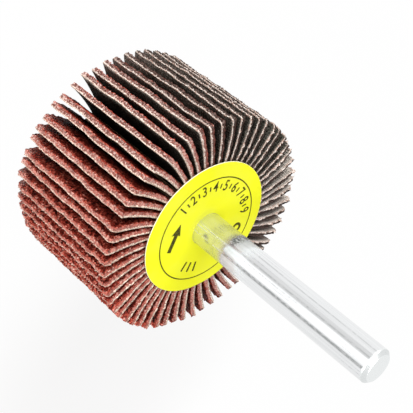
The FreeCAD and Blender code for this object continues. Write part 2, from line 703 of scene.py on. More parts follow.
@dataclass(frozen=True)
class GroundSteel:
    """Ground bright steel with fine marks along its length and a thin dull film left at its foot, with
    painted reflections at fixed bearings round it.

    Attributes:
        bright: clean metal.
        dull: metal in a mark.
        line: the metal in a painted reflection, a dark streak at a fixed bearing, broken up like grinding
            marks.
        foot: metal under the film.
        film: colour of the film.
        turned: metal of the free end, which is turned and not ground.
        turned_edge: metal of its chamfer.
        specks_and_reflection: colour of dark specks where the film gets thicker, more on one side, partly a
            painted reflection of the dark flaps.
        film_thin: how far the film hides the metal at the label, where it is streaky.
        film_streak: how much more it does so in a streak.
        film_thick: how far it hides the metal further up.
        film_rub: how much more it does so in a streak there.
        film_bare: how much less it does so in the bare streaks, where the flaps' dark reflection shows
            through as painted reflection.
        film_step: where it gets thicker.
        film_top: where it ends.
        end_start: where the free end starts.
        roughness: of clean metal.
        reflection_line_share: how dark the painted reflection streaks are.
        painted_reflection_lines: where the painted reflection streaks are, at fixed bearings.
        painted_sheen_band: where the film is thicker and paler at fixed bearings, a painted sheen.
        bare: where it is thinner at fixed bearings, so that the flaps' dark reflection shows there as painted
            reflection streaks.
    """

    bright: Colour = (0.860, 0.872, 0.880)
    dull: Colour = (0.500, 0.515, 0.530)
    line: Colour = (0.400, 0.425, 0.425)
    foot: Colour = (0.700, 0.710, 0.705)
    film: Colour = (0.545, 0.605, 0.635)
    turned: Colour = (0.940, 0.965, 0.965)
    turned_edge: Colour = (0.840, 0.865, 0.865)
    specks_and_reflection: Colour = (0.070, 0.084, 0.074)
    film_thin: float = 0.13
    film_streak: float = 0.24
    film_thick: float = 0.42
    film_rub: float = 0.26
    film_bare: float = 0.50
    film_step: float = 32.0 * MM
    film_top: float = 37.4 * MM
    end_start: float = 62.7 * MM
    roughness: float = 0.05
    reflection_line_share: float = 0.80
    painted_reflection_lines: tuple[Sector, ...] = (
        Sector(23.5, 30.5, 1.5),
        Sector(-11.0, -7.0, 1.0, 0.45),
        Sector(-39.0, -35.0, 1.0, 0.35),
    )
    painted_sheen_band: tuple[Sector, ...] = (Sector(-2.0, 16.0, 3.0, 0.30),)
    bare: tuple[Sector, ...] = (Sector(-13.0, -6.0, 2.0), Sector(23.0, 32.0, 2.0))

    def make(self) -> bpy.types.Material:
        """Build the material.

        Returns:
            The material.
        """
        made, bench, shader = new_material("ground_steel")
        where = bench.where()
        x, y, z = bench.split(where)

        def drawn_out(along: float, scale: float, detail: float) -> Signal:
            """Noise that is stretched along the shank."""
            return bench.noise(bench.join(x * IN_MM, y * IN_MM, z * along), scale, detail)

        drawn = drawn_out(22.0, 3.2, 3.0)
        spots = bench.noise(where, 2200.0, 2.0)
        mark = bench.ramp(drawn, 0.58, 0.76) * bench.ramp(spots, 0.40, 0.62)
        # Painted reflection: dark streaks at fixed bearings, broken up like grinding marks
        broken = bench.ramp(drawn_out(500.0, 2.6, 3.0), 0.41, 0.56)
        painted_reflection_lines = round_shank(bench, x, y, self.painted_reflection_lines) * broken

        level = z + (spots - 0.5) * 2.0 * MM
        stepped = bench.ramp(level, self.film_step, self.film_step + 0.8 * MM)
        streak = bench.ramp(drawn_out(60.0, 1.1, 2.0), 0.50, 0.70)
        thin = streak * self.film_streak + self.film_thin
        # Painted sheen: thicker, paler film at fixed bearings
        thick = round_shank(bench, x, y, self.painted_sheen_band) + streak * self.film_rub + self.film_thick
        # Thinner film at fixed bearings lets dark reflection streaks show: painted reflection
        thick = thick * (1.0 - round_shank(bench, x, y, self.bare) * self.film_bare)
        film = thin + stepped * (thick - thin)
        film = film * bench.fall(level, self.film_top - 2.5 * MM, self.film_top + 1.0 * MM)
        grain = bench.ramp(bench.noise(where, 2800.0, 2.0), 0.42, 0.54)
        # Dark specks above the film's step, more on one side: partly a painted reflection of the dark flaps
        reflection_side = bench.ramp(x * -1.0, 0.1 * MM, 0.9 * MM) * 0.75 + 0.15
        specks_and_reflection = stepped * bench.fall(level, self.film_step + 0.9 * MM, self.film_step + 2.4 * MM)
        specks_and_reflection = specks_and_reflection * grain * reflection_side

        dulled = bench.calc("MAXIMUM", mark * 0.6, bench.ramp(drawn, 0.36, 0.74) * 0.18)
        colour = bench.blend(dulled, self.bright, self.dull)
        colour = bench.blend(painted_reflection_lines * self.reflection_line_share, colour, self.line)
        colour = bench.blend(1.0 - stepped, colour, self.foot)
        colour = bench.blend(film, colour, self.film)
        on_side = bench.fall(z, self.end_start - 0.2 * MM, self.end_start)
        on_face = bench.ramp(z, self.end_start + 0.70 * MM, self.end_start + 0.79 * MM)
        colour = bench.blend(1.0 - on_side, colour, bench.blend(on_face, self.turned_edge, self.turned))
        rough = (mark * 0.16 + painted_reflection_lines * 0.14 + drawn * 0.03) * on_side
        rough = rough + (1.0 - on_side) * 0.20 + (1.0 - stepped) * 0.11
        bench.fill(shader, {
            "Base Color": bench.blend(specks_and_reflection * 0.9, colour, self.specks_and_reflection),
            "Metallic": 1.0 - film,
            "Roughness": rough + self.roughness,
            "Normal": bench.relief((drawn * 0.5 + spots * 0.5) * on_side, 0.008 * MM, 0.8),
        })
        return made


@dataclass(frozen=True)
class LabelPaper:
    """Yellow coated paper with a pale cut rim.

    Attributes:
        yellow: its coat.
        yellow_thin: the coat where it is thin.
        core: the paper in its cut rim.
    """

    yellow: Colour = (0.920, 0.920, 0.012)
    yellow_thin: Colour = (0.900, 0.900, 0.044)
    core: Colour = (0.850, 0.830, 0.640)

    def make(self) -> bpy.types.Material:
        """Build the material.

        Returns:
            The material, which reads the paper's rim attribute.
        """
        made, bench, shader = new_material("label_paper")
        where = bench.where()
        fibre = bench.noise(where, 1500.0, 4.0)
        cloud = bench.ramp(bench.noise(where, 160.0, 2.0), 0.40, 0.66)
        rim = bench.ramp(bench.attribute(RIM) + (fibre - 0.5) * 0.5, 0.35, 0.75)
        coat = bench.blend(cloud * 0.6, self.yellow, self.yellow_thin)
        bench.fill(shader, {
            "Base Color": bench.blend(rim, coat, self.core),
            "Roughness": 0.42 + fibre * 0.22,
            "Specular IOR Level": 0.25,
            "Normal": bench.relief(fibre, 0.006 * MM, 0.6),
        })
        return made


@dataclass(frozen=True)
class PrintInk:
    """Dark olive printing ink, thin enough to let the paper's fibre through.

    Attributes:
        dark: the ink.
        thin: the ink over a fibre.
    """

    dark: Colour = (0.042, 0.040, 0.004)
    thin: Colour = (0.115, 0.108, 0.006)

    def make(self) -> bpy.types.Material:
        """Build the material.

        Returns:
            The material.
        """
        made, bench, shader = new_material("print_ink")
        fibre = bench.noise(bench.where(), 2600.0, 3.0)
        bench.fill(shader, {
            "Base Color": bench.blend(bench.ramp(fibre, 0.45, 0.65), self.dark, self.thin),
            "Roughness": 0.48 + fibre * 0.2,
            "Specular IOR Level": 0.12,
        })
        return made


@dataclass(frozen=True)
class CastResin:
    """Filled casting resin, dull and a little blotched, with small pits darkened with painted shade.

    Attributes:
        body: the resin.
        blotch: a paler blotch.
        pit_shade: painted shade inside the pits.
    """

    body: Colour = (0.210, 0.120, 0.060)
    blotch: Colour = (0.330, 0.210, 0.120)
    pit_shade: Colour = (0.060, 0.034, 0.018)

    def make(self) -> bpy.types.Material:
        """Build the material.

        Returns:
            The material.
        """
        made, bench, shader = new_material("cast_resin")
        where = bench.where()
        cloud = bench.noise(where, 220.0, 4.0)
        distance, tone = bench.cells(where, 900.0)
        # Painted shade inside the pits
        pit_shade = bench.fall(distance, 0.10, 0.34) * bench.ramp(tone, 0.70, 0.78)
        colour = bench.blend(bench.ramp(cloud, 0.36, 0.66), self.body, self.blotch)
        bench.fill(shader, {
            "Base Color": bench.blend(pit_shade * 0.7, colour, self.pit_shade),
            "Roughness": 0.50 + cloud * 0.25,
            "Normal": bench.relief(cloud * 0.5 - pit_shade, 0.05 * MM, 0.7),
        })
        return made


# Meshes


def link(name: str, data: bpy.types.ID) -> bpy.types.Object:
    """Put a mesh, a text, a lamp or a camera into the scene.

    Args:
        name: the new object's name.
        data: what it holds.

    Returns:
        The object, at the origin.
    """
    made = bpy.data.objects.new(name, data)
    bpy.context.scene.collection.objects.link(made)
    return made


def grown(name: str, tree: bpy.types.NodeTree, values: dict[str, object]) -> bpy.types.Object:
    """Run a Geometry Nodes tree and keep its result as a plain mesh.

    Args:
        name: the new object's name.
        tree: the tree.
        values: the tree's inputs by name.

    Returns:
        The object, without its modifier.
    """
    made = link(name, bpy.data.meshes.new(name))
    modifier = made.modifiers.new("make", "NODES")
    modifier.node_group = tree
    for item in tree.interface.items_tree:
        if item.item_type == "SOCKET" and item.in_out == "INPUT":
            modifier[item.identifier] = values[item.name]
    graph = bpy.context.evaluated_depsgraph_get()
    shown = made.evaluated_get(graph)
    mesh = bpy.data.meshes.new_from_object(shown, preserve_all_data_layers=True, depsgraph=graph)
    made.modifiers.remove(modifier)
    spare = made.data
    made.data = mesh
    bpy.data.meshes.remove(spare)
    mesh.name = name
    return made


def to_mesh(name: str, work: bmesh.types.BMesh) -> bpy.types.Mesh:
    """Turn a worked mesh into a plain one and free it.

    Args:
        name: the new mesh's name.
        work: the worked mesh.

    Returns:
        The plain mesh.
    """
    mesh = bpy.data.meshes.new(name)
    work.to_mesh(mesh)
    work.free()
    return mesh


def loops_to_mesh(name: str, loops: list[list[Vector]], closed: bool) -> bpy.types.Mesh:
    """Skin over a row of closed loops that have the same number of points.

    Args:
        name: the mesh's name.
        loops: the loops, each counter-clockwise from above, going outwards along the skin.
        closed: whether the last loop joins the first, as on a tube bent into a ring.
            Otherwise each end is closed by a fan round its middle.

    Returns:
        The mesh, smooth shaded, its faces outwards.
    """
    work = bmesh.new()
    rows = [[work.verts.new(point) for point in loop] for loop in loops]
    count = len(rows[0])
    pairs = list(zip(rows, rows[1:]))
    if closed:
        pairs.append((rows[-1], rows[0]))
    for lower, upper in pairs:
        for step in range(count):
            after = (step + 1) % count
            work.faces.new((lower[step], lower[after], upper[after], upper[step]))
    if not closed:
        for row in (rows[0], rows[-1]):
            middle = work.verts.new(sum((vert.co for vert in row), Vector()) / count)
            for step in range(count):
                work.faces.new((row[step], row[(step + 1) % count], middle))
    bmesh.ops.recalc_face_normals(work, faces=work.faces)
    for face in work.faces:
        face.smooth = True
    return to_mesh(name, work)


def circle(radius: float, level: float, count: int, centre_y: float = 0.0) -> list[Vector]:
    """Points on a level circle.

    Args:
        radius: its radius.
        level: its height.
        count: number of points.
        centre_y: where its centre is on Y.

    Returns:
        The points, counter-clockwise from above.
    """
    turns = [step * math.tau / count for step in range(count)]
    return [Vector((radius * math.cos(turn), centre_y + radius * math.sin(turn), level)) for turn in turns]


# Flaps


@dataclass(frozen=True)
class FlapPlace:
    """Where one flap stands and how it bends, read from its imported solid.

    Attributes:
        root_radius: axis to the middle of the root.
        turn: angle of the root round the axis.
        tilt: lean of the root from the radial line.
        bend_radius: bend of the flap's middle surface.
        length: root to tip along the bend.
        width: along the axis.
        thickness: grit face to cloth face.
    """

    root_radius: float
    turn: float
    tilt: float
    bend_radius: float
    length: float
    width: float
    thickness: float

    @classmethod
    def read(cls, node: bpy.types.Object) -> "FlapPlace":
        """Read a flap's place from the corners of its solid.

        Args:
            node: the flap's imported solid.

        Returns:
            Its place.
        """
        corners = {(round(v.co.x, 7), round(v.co.y, 7)) for v in node.data.vertices}
        points = [Vector(corner) for corner in corners]
        low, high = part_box(node.name)
        first = min(points, key=lambda point: point.length)
        root = [point for point in points if point.length < first.length + ROOT_SLACK]
        root_middle = sum(root, Vector((0.0, 0.0))) / len(root)
        across = max(root, key=lambda point: (point - first).length) - first
        tangent = Vector((across.y, -across.x)).normalized()
        if tangent.dot(root_middle) < 0.0:
            tangent.negate()
        tip = sorted(points, key=lambda point: (point - root_middle).length)[-2:]
        chord = (tip[0] + tip[1]) / 2 - root_middle
        lean = abs(chord.angle_signed(tangent))
        turn = math.atan2(root_middle.y, root_middle.x)
        tilt = math.atan2(tangent.y, tangent.x) - turn
        bend_radius = chord.length / (2.0 * math.sin(lean))
        return cls(
            root_radius=root_middle.length,
            turn=turn,
            tilt=math.remainder(tilt, math.tau),
            bend_radius=bend_radius,
            length=bend_radius * 2.0 * lean,
            width=high.z - low.z,
            thickness=across.length,
        )


@dataclass
class FlapRing:
    """The ring of abrasive cloth flaps.

    Attributes:
        steps_along: points from root to tip.
        steps_across: points along the axis.
        steps_deep: points through the thickness.
        relief: how far the grains stand up and sink.
        rag: how uneven a cut edge is.
        chip: how far the grit has broken back from a cut edge.
        fringe: how far loose threads stand out of a cut edge.
        wave: how far a flap waves at its tip.
        corner_low: smallest worn corner.
        corner_high: largest worn corner.
        sharp_share: how much less the front corners are worn where dust is high.
        dirty_side: where round the axis the cut edges are darkest, from grime and painted shade, in degrees.
        dusty_side: where round the axis the cloth's back is lightest, from powder and painted light, in
            degrees.
        dusty_reach: how far to each side of that it reaches, in degrees.
        seed: for everything random.
    """

    steps_along: int = 22
    steps_across: int = 130
    steps_deep: int = 5
    relief: float = 0.19 * MM
    rag: float = 0.30 * MM
    chip: float = 0.20 * MM
    fringe: float = 0.28 * MM
    wave: float = 0.42 * MM
    corner_low: float = 0.2 * MM
    corner_high: float = 1.0 * MM
    sharp_share: float = 0.85
    dirty_side: float = 155.0
    dusty_side: float = 118.0
    dusty_reach: float = 46.0
    seed: int = 7

    def tree(self) -> bpy.types.NodeTree:
        """Build the Geometry Nodes tree of one flap.

        Returns:
            The tree.
        """
        bench, taken = new_tree("flap_cloth", (
            "Length", "Width", "Thickness", "Bend Radius", "Root Radius", "Tilt", "Turn", "Front Corner",
            "Back Corner", "Wave", "Relief", "Rag", "Chip", "Fringe", "Dirt", "Dust", "Seed",
        ))
        shape = bench.out("GeometryNodeMeshCube", {
            "Size": (1.0, 1.0, 1.0),
            "Vertices X": self.steps_along,
            "Vertices Y": self.steps_across,
            "Vertices Z": self.steps_deep,
        }, "Mesh")
        raw = bench.split(bench.out("GeometryNodeInputPosition", {}))
        along, across, edge, layer, deep = self.flat_strip(bench, taken, raw)
        place = bench.join(along * IN_MM, across * IN_MM, layer)
        kept = ((PLACE, place, "FLOAT_VECTOR"), (EDGE, edge, "FLOAT_VECTOR"),
                (DUST_AND_LIGHT, taken["Dust"], "FLOAT"), (SHIFT, taken["Seed"], "FLOAT"))
        for name, value, kind in kept:
            inputs = {"Geometry": shape, "Name": name, "Value": value}
            shape = bench.out("GeometryNodeStoreNamedAttribute", inputs, data_type=kind, domain="POINT")
        bent = self.bent(bench, taken, along, across, deep)
        shape = bench.out("GeometryNodeSetPosition", {"Geometry": shape, "Position": bent})
        stood = bench.out("GeometryNodeInputNamedAttribute", {"Name": PLACE}, data_type="FLOAT_VECTOR")
        on_back = bench.calc("GREATER_THAN", bench.split(stood)[2], 0.99)
        shape = bench.out("GeometryNodeSetShadeSmooth", {"Geometry": shape, "Shade Smooth": on_back})
        return close_tree(bench, taken, shape)

    def flat_strip(
        self, bench: Bench, taken: dict[str, Signal], raw: tuple[Signal, ...]
    ) -> tuple[Signal, ...]:
        """Lay the flap flat: worn corners, ragged cut edges, raised grains.

        Args:
            bench: the tree's bench.
            taken: the tree's inputs by name.
            raw: coordinates of a unit cube round the origin.

        Returns:
            Distance from the root, distance from the back edge, a vector of the distances to the tip and
            to the nearest side in millimetres and the dirt value, the layer from 0 on the grit to 1
            on the cloth, and the depth towards the cloth side.
        """
        u, v, layer = (value + 0.5 for value in raw)
        length, width, rag, seed = (taken[name] for name in ("Length", "Width", "Rag", "Seed"))
        # A plain strip, its points closer together at the tip and the sides
        run = length * (1.0 - (1.0 - u) ** 1.6)
        eased = 0.5 - 0.5 * bench.calc("COSINE", v * math.pi)
        rise = width * (v * 0.7 + eased * 0.3)

        def dropped(size: Signal, inward: Signal) -> Signal:
            """How far a round corner of this size cuts the tip back, this far in from the edge."""
            share = bench.calc("SUBTRACT", 1.0, inward / size, clamp=True)
            return size * (1.0 - bench.calc("SQRT", 1.0 - share * share))

        cut_back = dropped(taken["Front Corner"], width - rise) + dropped(taken["Back Corner"], rise)
        # Cut edges: nibbled cloth, chipped grit and loose threads
        crumb = bench.join(run * IN_MM + seed * 13.7, rise * IN_MM, layer * 1.1)
        sway = bench.noise(bench.join(rise * IN_MM, run * IN_MM * 0.5, seed * 7.3), 0.45, 2.0) - 0.5
        nibble = bench.noise(crumb, 2.2, 2.0) - 0.5
        loose = 1.3 - bench.ramp(layer, 0.35, 0.6) * 0.7
        threads = bench.ramp(layer, 0.55, 0.72) * bench.fall(layer, 0.80, 0.98)
        fringe = threads * bench.ramp(bench.noise(crumb, 4.6, 0.0), 0.50, 0.72) * taken["Fringe"]
        at_tip = bench.calc("GREATER_THAN", u, 0.999)
        at_front = bench.calc("GREATER_THAN", v, 0.999)
        at_back = bench.calc("LESS_THAN", v, 0.001)
        chipped = bench.fall(layer, 0.0, 0.62) * taken["Chip"] * (0.55 + nibble * 1.6)
        reach = length - cut_back + sway * rag * 2.0
        along = run * (reach / length) + at_tip * (nibble * loose * rag * 2.4 - chipped * 0.8 + fringe)
        across = rise + at_front * ((nibble - 0.08) * loose * rag * 2.0 + sway * rag - chipped + fringe)
        across = across + at_back * (bench.calc("ABSOLUTE", nibble) * loose * rag * 2.0 + chipped)
        # Distances to the cut edges
        to_tip = bench.calc("MAXIMUM", length - cut_back - run * (1.0 - cut_back / length), 0.0)
        to_side = bench.calc("MINIMUM", rise, width - rise)
        edge = bench.calc("MINIMUM", to_tip, to_side)

        # Grains stand up most along the edges, and the whole flap waves towards its tip
        distance, tone = bench.cells(crumb, 2.5)
        grain = (1.0 - distance * 1.5) * (0.35 + 0.65 * tone)
        grain = grain + (bench.noise(crumb, 4.2, 1.0) - 0.5) * 0.9 - 0.15
        on_grit = bench.fall(layer, 0.0, 0.4)
        near_edge = 1.7 - bench.ramp(edge, 0.0, 1.2 * MM)
        deep = (layer - 0.5) * taken["Thickness"] - on_grit * grain * taken["Relief"] * near_edge
        flow = bench.join(run * IN_MM * 0.06 + seed * 3.1, rise * IN_MM * 0.14, seed * 1.7)
        wave = (bench.noise(flow, 1.0, 1.0) - 0.5) * 2.0 * taken["Wave"]
        deep = deep + wave * (run / length) ** 1.4
        return along, across, bench.join(to_tip * IN_MM, to_side * IN_MM, taken["Dirt"]), layer, deep

    def bent(
        self, bench: Bench, taken: dict[str, Signal], along: Signal, across: Signal, deep: Signal
    ) -> Signal:
        """Bend the flat strip and stand it in its place.

        Args:
            bench: the tree's bench.
            taken: the tree's inputs by name.
            along: distance from the root.
            across: distance from the back edge.
            deep: depth towards the cloth side.

        Returns:
            The point in the part's frame.
        """
        bend = taken["Bend Radius"]
        angle = along / bend
        out = (bend - deep) * bench.calc("SINE", angle)
        aside = bend - (bend - deep) * bench.calc("COSINE", angle)

        def turned(x: Signal, y: Signal, by: Signal) -> tuple[Signal, Signal]:
            """Turn a point about the origin."""
            cosine, sine = bench.calc("COSINE", by), bench.calc("SINE", by)
            return x * cosine - y * sine, x * sine + y * cosine

        out, aside = turned(out, aside, taken["Tilt"])
        x, y = turned(out + taken["Root Radius"], aside, taken["Turn"])
        return bench.join(x, y, across)

    def build(self, finish: bpy.types.Material) -> list[bpy.types.Object]:
        """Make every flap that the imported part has.

        Args:
            finish: the cloth's material.

        Returns:
            The flaps.
        """
        tree = self.tree()
        chance = random.Random(self.seed)
        made = []
        for name in sorted(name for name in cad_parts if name.startswith("flap_")):
            place = FlapPlace.read(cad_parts[name])
            # Backs grow lighter towards one side of the wheel: powder, and painted light
            aside = math.remainder(math.degrees(place.turn) - self.dusty_side, 360.0)
            dusty = max(0.0, 1.0 - (aside / self.dusty_reach) ** 2)
            front_corner = chance.uniform(self.corner_low, self.corner_high)
            flap = grown(f"{name}_cloth", tree, {
                "Length": place.length,
                "Width": place.width,
                "Thickness": place.thickness,
                "Bend Radius": place.bend_radius,
                "Root Radius": place.root_radius,
                "Tilt": place.tilt,
                "Turn": place.turn,
                "Front Corner": front_corner * (1.0 - self.sharp_share * dusty),
                "Back Corner": chance.uniform(self.corner_low, self.corner_high),
                "Wave": self.wave,
                "Relief": self.relief,
                "Rag": self.rag,
                "Chip": self.chip,
                "Fringe": self.fringe * (1.0 + dusty),
                # Cut edges grow darker towards one side of the wheel: grime, and painted shade
                "Dirt": 0.5 + 0.5 * math.cos(place.turn - math.radians(self.dirty_side)),
                "Dust": dusty * chance.uniform(0.8, 1.0),
                "Seed": chance.uniform(0.0, 90.0),
                "Material": finish,
            })
            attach(flap, BODY)
            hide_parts(name)
            made.append(flap)
        return made


# Shank


@dataclass
class Shank:
    """The ground steel shank with its knurled root.

    Attributes:
        segments: points round it, a multiple of the knurl's corners.
        knurl_ridges: ridges of the knurl.
        knurl_depth: their depth.
        chamfer: size of the end chamfer.
        edge_round: small round on the chamfer's edges.
    """

    segments: int = 144
    knurl_ridges: int = 18
    knurl_depth: float = 0.3 * MM
    chamfer: float = 0.6 * MM
    edge_round: float = 0.08 * MM

    def root_loop(self, radius: float, level: float) -> list[Vector]:
        """One loop of the knurled root.

        Args:
            radius: radius of the ridges' crests.
            level: its height.

        Returns:
            The loop's points.
        """
        half = math.pi / self.knurl_ridges
        valley = radius - self.knurl_depth
        points = []
        for step in range(self.segments):
            turn = step * math.tau / self.segments
            share = abs(math.remainder(turn, 2.0 * half)) / half
            crest = Vector((radius, 0.0))
            dip = Vector((valley * math.cos(half), valley * math.sin(half)))
            reach = crest.lerp(dip, share).length
            points.append(Vector((reach * math.cos(turn), reach * math.sin(turn), level)))
        return points

    def build(self, finish: bpy.types.Material) -> bpy.types.Object:
        """Make the shank to its packed size.

        Args:
            finish: the steel's material.

        Returns:
            The shank.
        """
        low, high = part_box("shank")
        radius = high.x
        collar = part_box("label_disc")[1].z
        end = high.z
        soft = self.edge_round
        # Up the side, over the chamfer with a small round at both its edges, and across the end
        shoulder = end - self.chamfer
        face = radius - self.chamfer
        profile = [
            (radius, collar), (radius, collar + 2.0 * MM), (radius, (collar + end) / 2),
            (radius, shoulder - 4.0 * soft), (radius, shoulder - soft),
            (radius - 0.3 * soft, shoulder), (radius - soft, shoulder + 0.9 * soft),
            (radius - 1.6 * soft, shoulder + 1.6 * soft), (face + 1.6 * soft, end - 1.6 * soft),
            (face + soft, end - soft), (face + 0.25 * soft, end - 0.3 * soft), (face - 0.6 * soft, end),
            (face - 3.0 * soft, end), (face * 0.5, end), (face * 0.1, end),
        ]
        # The knurl runs out under the label
        loops = [self.root_loop(radius, low.z), self.root_loop(radius, collar - 0.8 * MM)]
        loops += [circle(radius, collar - depth * MM, self.segments) for depth in (0.7, 0.6, 0.3)]
        loops += [circle(reach, level, self.segments) for reach, level in profile]
        made = link("shank_steel_rod", loops_to_mesh("shank_steel_rod", loops, closed=False))
        for face in made.data.polygons:
            face.use_smooth = face.normal.z < 0.999
        made.data.materials.append(finish)
        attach(made, BODY)
        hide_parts("shank")
        return made


# Label


@dataclass
class Label:
    """The round paper label and what is printed on it.

    Attributes:
        segments: points round the disc.
        flutter: how far the paper lifts and dips near its rim.
        flat_to: how far out the paper is flat, as a share of the way to its rim.
        rim_bend: small round on the paper's cut edges.
        hole_gap: gap between the paper and the shank.
        ink_height: how far the ink stands over the paper.
        line_radius: radius of the printed ring.
        line_width: its width.
        arrow_tail: where the arrow starts.
        arrow_head: where its point is.
        arrow_shaft: width of its shaft.
        arrow_wing: width of its head.
        arrow_point: length of its head.
        arrow_barb: how far the head's corners lie behind it.
        scale_from: angle of the first number, in degrees.
        scale_to: angle of the last number.
        scale_count: how many numbers there are.
        scale_radius: radius of the numbers' middle.
        scale_size: their size as text, 1.4 times their height.
        scale_slim: how narrow they are.
        scale_weight: how far their strokes are thickened on each side.
        dot_spot: centre of the small plain ring beside the shank.
        dot_radius: its radius.
        dot_width: width of its line.
        dot_segments: points round it.
        tick: length and width of a tick between two numbers.
        bars_from: angle of the first plain bar.
        bars_step: angle from one bar to the next.
        bars_count: how many bars there are.
        bars_radius: radius of their middle.
        bar: length and width of a bar.
        top: height of the paper's face, read from its solid.
    """

    segments: int = 180
    flutter: float = 0.05 * MM
    flat_to: float = 0.83
    rim_bend: float = 0.02 * MM
    hole_gap: float = 0.015 * MM
    ink_height: float = 0.02 * MM
    line_radius: float = 9.9 * MM
    line_width: float = 0.2 * MM
    arrow_tail: tuple[float, float] = (6.9 * MM, -4.2 * MM)
    arrow_head: tuple[float, float] = (2.05 * MM, -6.6 * MM)
    arrow_shaft: float = 0.8 * MM
    arrow_wing: float = 1.9 * MM
    arrow_point: float = 2.1 * MM
    arrow_barb: float = 0.1 * MM
    scale_from: float = 271.0
    scale_to: float = 141.0
    scale_count: int = 9
    scale_radius: float = 8.25 * MM
    scale_size: float = 2.8 * MM
    scale_slim: float = 0.76
    scale_weight: float = 0.03 * MM
    dot_spot: tuple[float, float] = (-3.4 * MM, 6.75 * MM)
    dot_radius: float = 0.75 * MM
    dot_width: float = 0.5 * MM
    dot_segments: int = 32
    tick: tuple[float, float] = (0.9 * MM, 0.26 * MM)
    bars_from: float = 14.0
    bars_step: float = 10.0
    bars_count: int = 3
    bars_radius: float = 7.5 * MM
    bar: tuple[float, float] = (1.9 * MM, 0.36 * MM)
    top: float = field(init=False, default=0.0)

    def build(self, paper: bpy.types.Material, ink: bpy.types.Material) -> list[bpy.types.Object]:
        """Make the disc and its print.

        Args:
            paper: the paper's material.
            ink: the ink's material.

        Returns:
            The disc and the print.
        """
        low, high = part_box("label_disc")
        self.top = high.z
        disc = self.disc(low, high)
        disc.data.materials.append(paper)
        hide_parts("label_disc")
        marks = self.marks(ink)
        for piece in (disc, marks):
            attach(piece, BODY)
        return [disc, marks]

    def disc(self, low: Vector, high: Vector) -> bpy.types.Object:
        """The paper disc, flat inside and a little wavy near its rim.

        Args:
            low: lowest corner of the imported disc.
            high: its highest corner.

        Returns:
            The disc.
        """
        radius = (high.x - low.x) / 2
        shift = (high.y + low.y) / 2
        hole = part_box("shank")[1].x + self.hole_gap
        bend, flat_to = self.rim_bend, self.flat_to
        # Each loop has its radius, its height, its share of the way to the rim, and 1 if it is cut paper
        shares = [0.0, 0.15, 0.4, 0.65, flat_to, 0.88, 0.93, 0.97]
        top_row = [(hole + bend, 0.0)] + [(hole + (radius - hole) * share, share) for share in shares[1:]]
        profile = [(reach, high.z, share, 0.0) for reach, share in top_row]
        profile += [
            (radius - 2.0 * bend, high.z, 1.0, 0.0),
            (radius - 0.4 * bend, high.z - 0.4 * bend, 1.0, 1.0),
            (radius, high.z - 2.0 * bend, 1.0, 1.0),
            (radius, low.z + 2.0 * bend, 1.0, 1.0),
            (radius - 2.0 * bend, low.z, 1.0, 1.0),
        ]
        profile += [(reach, low.z, share, 0.0) for reach, share in reversed(top_row)]
        profile += [(hole, low.z + bend, 0.0, 1.0), (hole, high.z - bend, 0.0, 1.0)]
        loops = []
        for reach, level, share, _ in profile:
            loop = circle(reach, level, self.segments, shift * share)
            lift = max(0.0, share - flat_to) / (1.0 - flat_to)
            for step, point in enumerate(loop):
                turn = step * math.tau / self.segments
                ripple = math.sin(5.0 * turn + 0.6) * 0.5 + math.sin(11.0 * turn + 2.1) * 0.3
                point.z += self.flutter * lift * (ripple - 0.2)
            loops.append(loop)
        mesh = loops_to_mesh("label_paper_disc", loops, closed=True)
        rim = mesh.attributes.new(RIM, "FLOAT", "POINT")
        for index, (_, _, _, cut) in enumerate(profile):
            for step in range(self.segments):
                rim.data[index * self.segments + step].value = cut
        return link("label_paper_disc", mesh)

    def plate(self, outline: list[Vector]) -> bpy.types.Mesh:
        """A thin closed plate of ink.

        Args:
            outline: its outline, counter-clockwise from above.

        Returns:
            The plate's mesh, standing in the paper's face.
        """
        work = bmesh.new()
        levels = (self.top - self.ink_height, self.top + self.ink_height)
        low, high = ([work.verts.new((point.x, point.y, level)) for point in outline] for level in levels)
        work.faces.new(high)
        work.faces.new(list(reversed(low)))
        for step in range(len(outline)):
            after = (step + 1) % len(outline)
            work.faces.new((low[step], low[after], high[after], high[step]))
        return to_mesh("ink_plate", work)

    def ring_line(self, radius: float, width: float, segments: int) -> bpy.types.Mesh:
        """A printed ring round the origin.

        Args:
            radius: radius of the middle of its line.
            width: width of its line.
            segments: points round it.

        Returns:
            Its mesh.
        """
        inner, outer = radius - width / 2, radius + width / 2
        low, high = self.top - self.ink_height, self.top + self.ink_height
        corners = [(inner, low), (outer, low), (outer, high), (inner, high)]
        loops = [circle(reach, level, segments) for reach, level in corners]
        return loops_to_mesh("ink_ring", loops, closed=True)

    def arrow(self) -> bpy.types.Mesh:
        """The straight arrow that shows which way the wheel turns.

        Returns:
            Its mesh.
        """
        tail, head = Vector(self.arrow_tail), Vector(self.arrow_head)
        ahead = (head - tail).normalized()
        aside = Vector((-ahead.y, ahead.x))
        neck = head - ahead * self.arrow_point
        barb = neck - ahead * self.arrow_barb
        shaft, wing = aside * self.arrow_shaft / 2, aside * self.arrow_wing / 2
        outline = [tail - shaft, neck - shaft, barb - wing, head, barb + wing, neck + shaft, tail + shaft]
        return self.plate([Vector((point.x, point.y, 0.0)) for point in outline])

